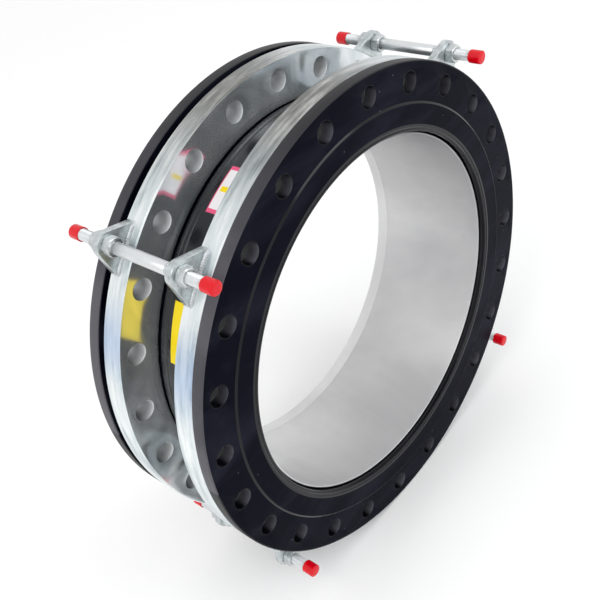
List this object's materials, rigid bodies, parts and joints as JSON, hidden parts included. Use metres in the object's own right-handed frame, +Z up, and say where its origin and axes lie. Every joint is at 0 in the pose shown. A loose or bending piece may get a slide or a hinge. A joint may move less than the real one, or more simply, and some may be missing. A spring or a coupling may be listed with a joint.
{
  "type": "rubber expansion joint",
  "caption": "Single-arch rubber expansion joint with full-face rubber flanges, loose steel backing rings, tie rods and a steel flow liner.",
  "frame": {"origin": "centre of the rear sealing face, on the bore axis", "axes": "+X along the bore towards the front face, +Z up, tie rods at 45 degrees to Y and Z"},
  "size_m": [0.323, 0.91, 0.91],
  "materials": {
    "black_rubber": "satin",
    "galvanised_steel": "satin",
    "stainless_steel": "satin",
    "zinc_plated_steel": "bright",
    "fabric_cord": "matte",
    "bead_wire": "satin",
    "red_plastic": "gloss",
    "yellow_film": "satin",
    "white_film": "satin"
  },
  "bodies": {
    "rear_end": {"rear_rubber_flange": "black_rubber", "rear_bead_ring": "bead_wire", "flow_liner": "stainless_steel", "liner_flange": "stainless_steel"},
    "rear_ring": {"rear_backing_ring": "galvanised_steel", "rear_lug_welds": "galvanised_steel", "rear_lug_1": "galvanised_steel", "rear_lug_2": "galvanised_steel", "rear_lug_3": "galvanised_steel", "rear_lug_4": "galvanised_steel", "tie_rod_1": "zinc_plated_steel", "tie_rod_2": "zinc_plated_steel", "tie_rod_3": "zinc_plated_steel", "tie_rod_4": "zinc_plated_steel"},
    "front_end": {"front_rubber_flange": "black_rubber", "front_bead_ring": "bead_wire", "front_backing_ring": "galvanised_steel", "front_lug_welds": "galvanised_steel", "front_lug_1": "galvanised_steel", "front_lug_2": "galvanised_steel", "front_lug_3": "galvanised_steel", "front_lug_4": "galvanised_steel"},
    "arch": {"arch_inner_tube": "black_rubber", "arch_fabric_plies": "fabric_cord", "arch_outer_cover": "black_rubber", "yellow_label": "yellow_film", "white_label": "white_film"},
    "rear_outer_nut_1": {"rear_outer_nut_1": "zinc_plated_steel"},
    "rear_inner_nut_1": {"rear_inner_nut_1": "zinc_plated_steel"},
    "front_nut_1": {"front_nut_1": "zinc_plated_steel"},
    "rear_outer_nut_2": {"rear_outer_nut_2": "zinc_plated_steel"},
    "rear_inner_nut_2": {"rear_inner_nut_2": "zinc_plated_steel"},
    "front_nut_2": {"front_nut_2": "zinc_plated_steel"},
    "rear_outer_nut_3": {"rear_outer_nut_3": "zinc_plated_steel"},
    "rear_inner_nut_3": {"rear_inner_nut_3": "zinc_plated_steel"},
    "front_nut_3": {"front_nut_3": "zinc_plated_steel"},
    "rear_outer_nut_4": {"rear_outer_nut_4": "zinc_plated_steel"},
    "rear_inner_nut_4": {"rear_inner_nut_4": "zinc_plated_steel"},
    "front_nut_4": {"front_nut_4": "zinc_plated_steel"},
    "rear_cap_1": {"rear_cap_1": "red_plastic"},
    "front_cap_1": {"front_cap_1": "red_plastic"},
    "rear_cap_2": {"rear_cap_2": "red_plastic"},
    "front_cap_2": {"front_cap_2": "red_plastic"},
    "rear_cap_3": {"rear_cap_3": "red_plastic"},
    "front_cap_3": {"front_cap_3": "red_plastic"},
    "rear_cap_4": {"rear_cap_4": "red_plastic"},
    "front_cap_4": {"front_cap_4": "red_plastic"}
  },
  "joints": [
    {"name": "rear_ring_seat", "type": "slide", "parent": "rear_end", "child": "rear_ring", "axis": [1, 0, 0], "range_m": [-0.0135, 0]},
    {"name": "front_compression", "type": "slide", "parent": "rear_ring", "child": "front_end", "axis": [1, 0, 0], "range_m": [-0.025, 0], "stiffness_N_per_m": 300000, "deforming": ["arch_inner_tube", "arch_fabric_plies", "arch_outer_cover", "yellow_label", "white_label"]},
    {"name": "arch_shift", "type": "slide", "parent": "rear_ring", "child": "arch", "axis": [1, 0, 0], "range_m": [-0.0125, 0]},
    {"name": "rear_outer_nut_1_turn", "type": "hinge", "parent": "rear_ring", "child": "rear_outer_nut_1", "pos_m": [0.0327, -0.34436, 0.34436], "axis": [1, 0, 0], "continuous": true},
    {"name": "rear_inner_nut_1_turn", "type": "hinge", "parent": "rear_ring", "child": "rear_inner_nut_1", "pos_m": [0.0633, -0.34436, 0.34436], "axis": [1, 0, 0], "continuous": true},
    {"name": "front_nut_1_turn", "type": "hinge", "parent": "rear_ring", "child": "front_nut_1", "pos_m": [0.2283, -0.34436, 0.34436], "axis": [1, 0, 0], "continuous": true},
    {"name": "rear_outer_nut_2_turn", "type": "hinge", "parent": "rear_ring", "child": "rear_outer_nut_2", "pos_m": [0.0327, 0.34436, 0.34436], "axis": [1, 0, 0], "continuous": true},
    {"name": "rear_inner_nut_2_turn", "type": "hinge", "parent": "rear_ring", "child": "rear_inner_nut_2", "pos_m": [0.0633, 0.34436, 0.34436], "axis": [1, 0, 0], "continuous": true},
    {"name": "front_nut_2_turn", "type": "hinge", "parent": "rear_ring", "child": "front_nut_2", "pos_m": [0.2283, 0.34436, 0.34436], "axis": [1, 0, 0], "continuous": true},
    {"name": "rear_outer_nut_3_turn", "type": "hinge", "parent": "rear_ring", "child": "rear_outer_nut_3", "pos_m": [0.0327, 0.34436, -0.34436], "axis": [1, 0, 0], "continuous": true},
    {"name": "rear_inner_nut_3_turn", "type": "hinge", "parent": "rear_ring", "child": "rear_inner_nut_3", "pos_m": [0.0633, 0.34436, -0.34436], "axis": [1, 0, 0], "continuous": true},
    {"name": "front_nut_3_turn", "type": "hinge", "parent": "rear_ring", "child": "front_nut_3", "pos_m": [0.2283, 0.34436, -0.34436], "axis": [1, 0, 0], "continuous": true},
    {"name": "rear_outer_nut_4_turn", "type": "hinge", "parent": "rear_ring", "child": "rear_outer_nut_4", "pos_m": [0.0327, -0.34436, -0.34436], "axis": [1, 0, 0], "continuous": true},
    {"name": "rear_inner_nut_4_turn", "type": "hinge", "parent": "rear_ring", "child": "rear_inner_nut_4", "pos_m": [0.0633, -0.34436, -0.34436], "axis": [1, 0, 0], "continuous": true},
    {"name": "front_nut_4_turn", "type": "hinge", "parent": "rear_ring", "child": "front_nut_4", "pos_m": [0.2283, -0.34436, -0.34436], "axis": [1, 0, 0], "continuous": true},
    {"name": "rear_cap_1_pull", "type": "slide", "parent": "rear_ring", "child": "rear_cap_1", "axis": [-1, 0, 0], "range_m": [0, 0.05]},
    {"name": "front_cap_1_pull", "type": "slide", "parent": "rear_ring", "child": "front_cap_1", "axis": [1, 0, 0], "range_m": [0, 0.05]},
    {"name": "rear_cap_2_pull", "type": "slide", "parent": "rear_ring", "child": "rear_cap_2", "axis": [-1, 0, 0], "range_m": [0, 0.05]},
    {"name": "front_cap_2_pull", "type": "slide", "parent": "rear_ring", "child": "front_cap_2", "axis": [1, 0, 0], "range_m": [0, 0.05]},
    {"name": "rear_cap_3_pull", "type": "slide", "parent": "rear_ring", "child": "rear_cap_3", "axis": [-1, 0, 0], "range_m": [0, 0.05]},
    {"name": "front_cap_3_pull", "type": "slide", "parent": "rear_ring", "child": "front_cap_3", "axis": [1, 0, 0], "range_m": [0, 0.05]},
    {"name": "rear_cap_4_pull", "type": "slide", "parent": "rear_ring", "child": "rear_cap_4", "axis": [-1, 0, 0], "range_m": [0, 0.05]},
    {"name": "front_cap_4_pull", "type": "slide", "parent": "rear_ring", "child": "front_cap_4", "axis": [1, 0, 0], "range_m": [0, 0.05]}
  ],
  "couplings": [
    {"joint": "arch_shift", "follows": "front_compression", "ratio": 0.5}
  ]
}
